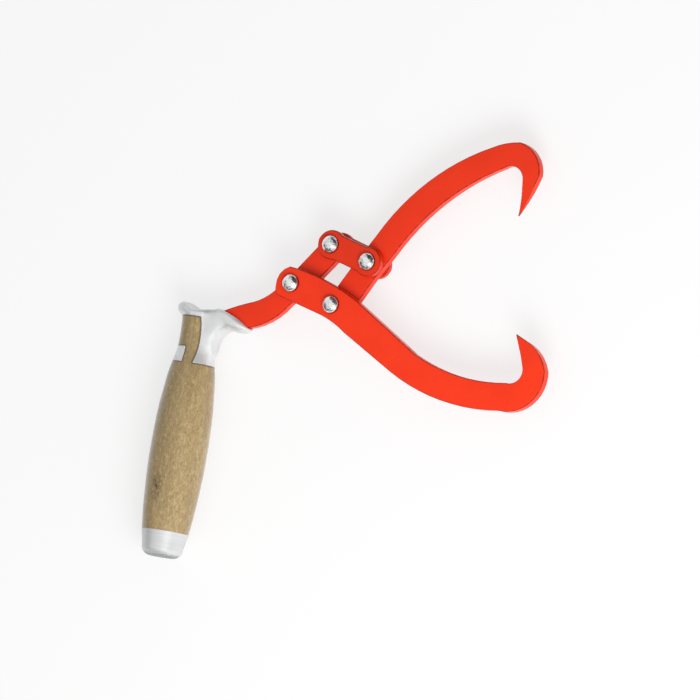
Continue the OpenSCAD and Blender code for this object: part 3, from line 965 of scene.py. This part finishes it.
class TONGS_OT_cap(bpy.types.Operator):
    """Fit the end cap, and the washer and nut inside it"""

    bl_idname = "tongs.cap"
    bl_label = "End Cap"

    def execute(self, context):
        colours = context.scene.tongs.colours
        cap = merged_copy("end_cap", "turned_end_cap")
        edges = cap.modifiers.new("edges", "BEVEL")
        edges.width = 0.3 * MM
        edges.segments = 3
        edges.limit_method = "ANGLE"
        edges.angle_limit = math.radians(40)
        bake_modifiers(cap)
        smooth_shade(cap, math.radians(30))
        dress(cap, turned_metal(colours))
        settle(cap, "end_cap")
        zinc = bpy.data.materials.get("bright_zinc") or bright_zinc(colours)
        for node in ("tang_washer", "tang_nut"):
            dress(frame["nodes"][node], zinc)
        return {"FINISHED"}


def rays(tree, *kinds):
    """1 for rays of these kinds, and 0 for the rest."""
    path = node_of(tree, "ShaderNodeLightPath", (-600, 300)).outputs
    chosen = path[f"Is {kinds[0]} Ray"]
    for kind in kinds[1:]:
        chosen = math_of(tree, "MAXIMUM", chosen, path[f"Is {kind} Ray"])
    return chosen


def either(tree, factor, first, second):
    """The first shader where the factor is 0, the second where it is 1."""
    node = node_of(tree, "ShaderNodeMixShader", (200, 0), Fac=factor)
    fill_in(tree, node, {1: first, 2: second})
    return node.outputs["Shader"]


def floor_finish():
    """Pale and matt, and nearly white where the camera or a reflection looks at it."""
    material, tree, _ = new_finish("pale_floor")
    tree.nodes.clear()
    matt = node_of(tree, "ShaderNodeBsdfDiffuse", (0, 100), Color=(0.93, 0.93, 0.93, 1))
    glow = node_of(tree, "ShaderNodeEmission", (0, -100), Color=(1, 1, 1, 1), Strength=1.0)
    share = math_of(tree, "MULTIPLY", rays(tree, "Camera", "Glossy", "Transmission"), 0.7)
    surface = either(tree, share, matt.outputs["BSDF"], glow.outputs["Emission"])
    node_of(tree, "ShaderNodeOutputMaterial", (400, 0), Surface=surface)
    return material


def studio_world(sizes):
    """White behind the tongs. Their gloss shows a white room with two dark gaps in it, and the
    light that falls on them is stronger from the points' side than from the handle's."""
    world = bpy.data.worlds.new("studio")
    bpy.context.scene.world = world
    world.use_nodes = True
    tree = world.node_tree
    tree.nodes.clear()
    place = node_of(tree, "ShaderNodeTexCoord", (-1000, 0)).outputs["Generated"]

    def along(x, y, z):
        dot = node_of(tree, "ShaderNodeVectorMath", (-800, 0), operation="DOT_PRODUCT")
        fill_in(tree, dot, {0: place, 1: Vector((x, y, z)).normalized()})
        return dot.outputs["Value"]

    def times(first, second):
        return math_of(tree, "MULTIPLY", first, second)

    def light(strength):
        return node_of(tree, "ShaderNodeBackground", (0, 0), Color=(1, 1, 1, 1),
                       Strength=strength).outputs["Background"]

    slant, height = along(1, 1, 0), along(0, 0, 1)
    far_gap = range_of(tree, slant, 0.38, 0.55, 1, 0.05)
    low = range_of(tree, height, 0.08, 0.18)
    high = range_of(tree, height, 0.55, 0.75, 1, 0)
    near = times(range_of(tree, slant, -0.36, -0.5), times(low, high))
    near_gap = range_of(tree, near, 0, 1, 1, 0.08)
    tilt = range_of(tree, along(1, 0, 0), -1, 1, sizes.gloss * 0.85, sizes.gloss * 1.1)
    skirting = range_of(tree, height, 0.02, 0.12, 1.6, 1.0)
    window = range_of(tree, along(*KEY_PLACE), 0.93, 0.97, 1.0, 2.0)
    studio = times(times(tilt, times(skirting, window)), times(far_gap, near_gap))
    side = range_of(tree, along(0.67, -0.67, 0.3), -1, 1, sizes.fill * 0.1, sizes.fill * 1.5)
    lit = either(tree, rays(tree, "Glossy"), light(side), light(studio))
    whole = either(tree, rays(tree, "Camera", "Transmission"), lit, light(1.0))
    node_of(tree, "ShaderNodeOutputWorld", (600, 0), Surface=whole)


def main_camera(sizes):
    """A long lens, square to the photograph's line of sight."""
    turn, tip = sizes.yaw, sizes.pitch
    back = Vector((math.sin(turn) * math.cos(tip), -math.sin(tip), math.cos(turn) * math.cos(tip)))
    right = Vector((0, 1, 0)).cross(back).normalized()
    above = back.cross(right)
    half = PICTURE / 2
    aim = Vector(JOINTS["upper_jaw_hinge"]["pos_m"]) + Vector((0, 0, sizes.aim_height))
    aim += right * ((half - sizes.aim_across) / sizes.pixels_per_metre)
    aim += above * ((sizes.aim_down - half) / sizes.pixels_per_metre)
    lens = bpy.data.cameras.new("camera")
    lens.type = "ORTHO"
    lens.ortho_scale = PICTURE / sizes.pixels_per_metre
    lens.clip_end = 20
    camera = new_object("camera", lens)
    axes = Matrix((right, above, back)).transposed().to_4x4()
    camera.matrix_world = Matrix.Translation(aim + back * sizes.camera_distance) @ axes
    bpy.context.scene.camera = camera


def soft_lamp(place, aim, size, power):
    """A round lamp that lights the tongs but doesn't show in their gloss."""
    lamp = bpy.data.lights.new("key_lamp", "AREA")
    lamp.shape = "DISK"
    lamp.size = size
    lamp.energy = power
    holder = new_object("key_lamp", lamp)
    towards = (Vector(aim) - Vector(place)).normalized()
    turn = towards.to_track_quat("-Z", "Y").to_matrix().to_4x4()
    holder.matrix_world = Matrix.Translation(place) @ turn
    holder.visible_glossy = False


class TONGS_OT_stage(bpy.types.Operator):
    """Lay the floor and set the lights and the camera"""

    bl_idname = "tongs.stage"
    bl_label = "Stage"

    def execute(self, context):
        sizes = context.scene.tongs.stage
        context.scene.view_settings.view_transform = "Standard"
        shell = bmesh.new()
        bmesh.ops.create_circle(shell, cap_ends=True, segments=64, radius=4)
        mesh = bpy.data.meshes.new("floor")
        shell.to_mesh(mesh)
        shell.free()
        floor = new_object("floor", mesh)
        dress(floor, floor_finish())
        studio_world(sizes)
        soft_lamp(KEY_PLACE, aim=(0.02, -0.02, 0), size=0.7, power=sizes.key)
        main_camera(sizes)
        return {"FINISHED"}


class TONGS_PT_panel(bpy.types.Panel):
    """The steps that finish the tongs, in order"""

    bl_idname = "TONGS_PT_panel"
    bl_label = "Log Tongs"
    bl_space_type = "VIEW_3D"
    bl_region_type = "UI"
    bl_category = "Log Tongs"

    def draw(self, context):
        for step in OPERATORS:
            self.layout.operator(step.bl_idname)
        for group in ("bars", "handle", "rivets", "colours", "stage"):
            settings = getattr(context.scene.tongs, group)
            box = self.layout.box()
            for name in settings.__annotations__:
                box.prop(settings, name)


OPERATORS = (TONGS_OT_stage, TONGS_OT_bars, TONGS_OT_rivets, TONGS_OT_handle, TONGS_OT_cap)
CLASSES = (BarSizes, HandleSizes, RivetSizes, FinishColours, StageSizes, TongsSettings,
           *OPERATORS, TONGS_PT_panel)


def register():
    for cls in CLASSES:
        bpy.utils.register_class(cls)
    bpy.types.Scene.tongs = PointerProperty(type=TongsSettings)


def unregister():
    del bpy.types.Scene.tongs
    for cls in reversed(CLASSES):
        bpy.utils.unregister_class(cls)


def main():
    register()
    bpy.ops.tongs.stage()
    bpy.ops.tongs.bars()
    bpy.ops.tongs.rivets()
    bpy.ops.tongs.handle()
    bpy.ops.tongs.cap()


if __name__ == "__main__":
    main()
